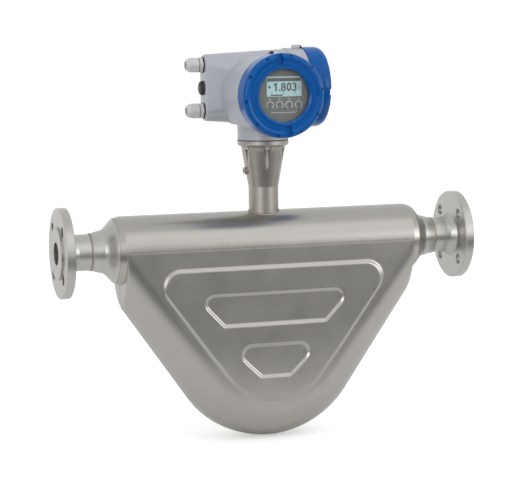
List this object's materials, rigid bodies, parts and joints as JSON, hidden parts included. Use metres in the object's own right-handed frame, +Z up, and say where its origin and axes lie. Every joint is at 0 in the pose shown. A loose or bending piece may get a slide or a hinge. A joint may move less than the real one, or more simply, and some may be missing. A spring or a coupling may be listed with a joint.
{
  "type": "coriolis flow meter",
  "caption": "Flanged coriolis mass flow meter: rounded triangular tube case under a straight line, compact converter on a stem with a window cover and a blind cover.",
  "frame": {"origin": "centre of the inlet flange's raised sealing face", "axes": "+X along the flow from inlet to outlet, +Z up through the stem, +Y to the back (the display looks along -Y)"},
  "size_m": [0.716, 0.195, 0.6625],
  "materials": {
    "flange_steel": "turned stainless steel, fine turning marks",
    "case_steel": "pressed stainless steel sheet, glass-bead blasted",
    "tube_steel": "drawn stainless steel",
    "stem_steel": "blasted stainless steel",
    "screw_steel": "stainless screws",
    "screw_brass": "brass terminal screws",
    "coil_copper": "enamelled copper winding",
    "grey_paint": "light grey powder coat on die-cast aluminium",
    "blue_paint": "blue gloss powder coat",
    "black_plastic": "black glass-filled plastic",
    "light_plastic": "light grey polyamide",
    "bezel_grey": "dark grey-brown plastic",
    "board_green": "solder-masked circuit board",
    "lcd_glass": "reflective liquid-crystal panel",
    "window_glass": "clear toughened glass",
    "seal_rubber": "black rubber"
  },
  "bodies": {
    "meter": {"inlet_flange": "flange_steel", "outlet_flange": "flange_steel", "inlet_manifold": "flange_steel", "outlet_manifold": "flange_steel", "housing_tube": "case_steel", "front_case_shell": "case_steel", "rear_case_shell": "case_steel", "front_measuring_tube": "tube_steel", "rear_measuring_tube": "tube_steel", "inlet_brace": "tube_steel", "outlet_brace": "tube_steel", "drive_coil": "coil_copper", "drive_magnet": "tube_steel", "inlet_pickup_coil": "coil_copper", "outlet_pickup_coil": "coil_copper", "inlet_pickup_magnet": "tube_steel", "outlet_pickup_magnet": "tube_steel", "temperature_sensor": "tube_steel", "stem": "stem_steel", "stem_screws": "screw_steel", "stem_plug": "screw_steel", "stem_gasket": "seal_rubber", "wire_feedthrough": "black_plastic", "converter_housing": "grey_paint", "electronics_module": "black_plastic", "display_board": "board_green", "display_bezel": "bezel_grey", "lcd_panel": "lcd_glass", "optical_keys": "bezel_grey", "cover_lock_screws": "screw_steel", "terminal_board": "board_green", "terminal_block": "light_plastic", "terminal_screws": "screw_brass", "upper_gland_body": "light_plastic", "upper_gland_washer": "seal_rubber", "upper_gland_insert": "seal_rubber", "lower_gland_body": "light_plastic", "lower_gland_washer": "seal_rubber", "lower_gland_insert": "seal_rubber", "blanking_plug": "black_plastic"},
    "front_cover_seal": {"front_cover_seal": "seal_rubber"},
    "front_cover": {"front_cover": "blue_paint", "window_glass": "window_glass", "window_ring": "black_plastic"},
    "side_cover_seal": {"side_cover_seal": "seal_rubber"},
    "side_cover": {"side_cover": "blue_paint"},
    "upper_gland_clamp": {"upper_gland_clamp": "light_plastic"},
    "upper_gland_nut": {"upper_gland_nut": "light_plastic"},
    "lower_gland_clamp": {"lower_gland_clamp": "light_plastic"},
    "lower_gland_nut": {"lower_gland_nut": "light_plastic"}
  },
  "joints": [
    {"name": "front_cover_slide", "type": "slide", "parent": "meter", "child": "front_cover_seal", "axis": [0, -1, 0], "range_m": [0, 0.01001]},
    {"name": "front_cover_turn", "type": "hinge", "parent": "front_cover_seal", "child": "front_cover", "pos_m": [0.358, -0.0835, 0.254], "axis": [0, -1, 0], "range_deg": [0, 1800]},
    {"name": "side_cover_slide", "type": "slide", "parent": "meter", "child": "side_cover_seal", "axis": [1, 0, 0], "range_m": [0, 0.01001]},
    {"name": "side_cover_turn", "type": "hinge", "parent": "side_cover_seal", "child": "side_cover", "pos_m": [0.4247, 0, 0.263], "axis": [1, 0, 0], "range_deg": [0, 1800]},
    {"name": "upper_gland_slide", "type": "slide", "parent": "meter", "child": "upper_gland_clamp", "axis": [-1, 0, 0], "range_m": [0, 0.00751]},
    {"name": "upper_gland_turn", "type": "hinge", "parent": "upper_gland_clamp", "child": "upper_gland_nut", "pos_m": [0.247, 0, 0.3033], "axis": [-1, 0, 0], "range_deg": [0, 1800]},
    {"name": "lower_gland_slide", "type": "slide", "parent": "meter", "child": "lower_gland_clamp", "axis": [-1, 0, 0], "range_m": [0, 0.00751]},
    {"name": "lower_gland_turn", "type": "hinge", "parent": "lower_gland_clamp", "child": "lower_gland_nut", "pos_m": [0.247, 0, 0.2275], "axis": [-1, 0, 0], "range_deg": [0, 1800]}
  ],
  "couplings": [
    {"joint": "front_cover_slide", "follows": "front_cover_turn", "m_per_rad": 0.00031831},
    {"joint": "side_cover_slide", "follows": "side_cover_turn", "m_per_rad": 0.00031831},
    {"joint": "upper_gland_slide", "follows": "upper_gland_turn", "m_per_rad": 0.00023873},
    {"joint": "lower_gland_slide", "follows": "lower_gland_turn", "m_per_rad": 0.00023873}
  ]
}
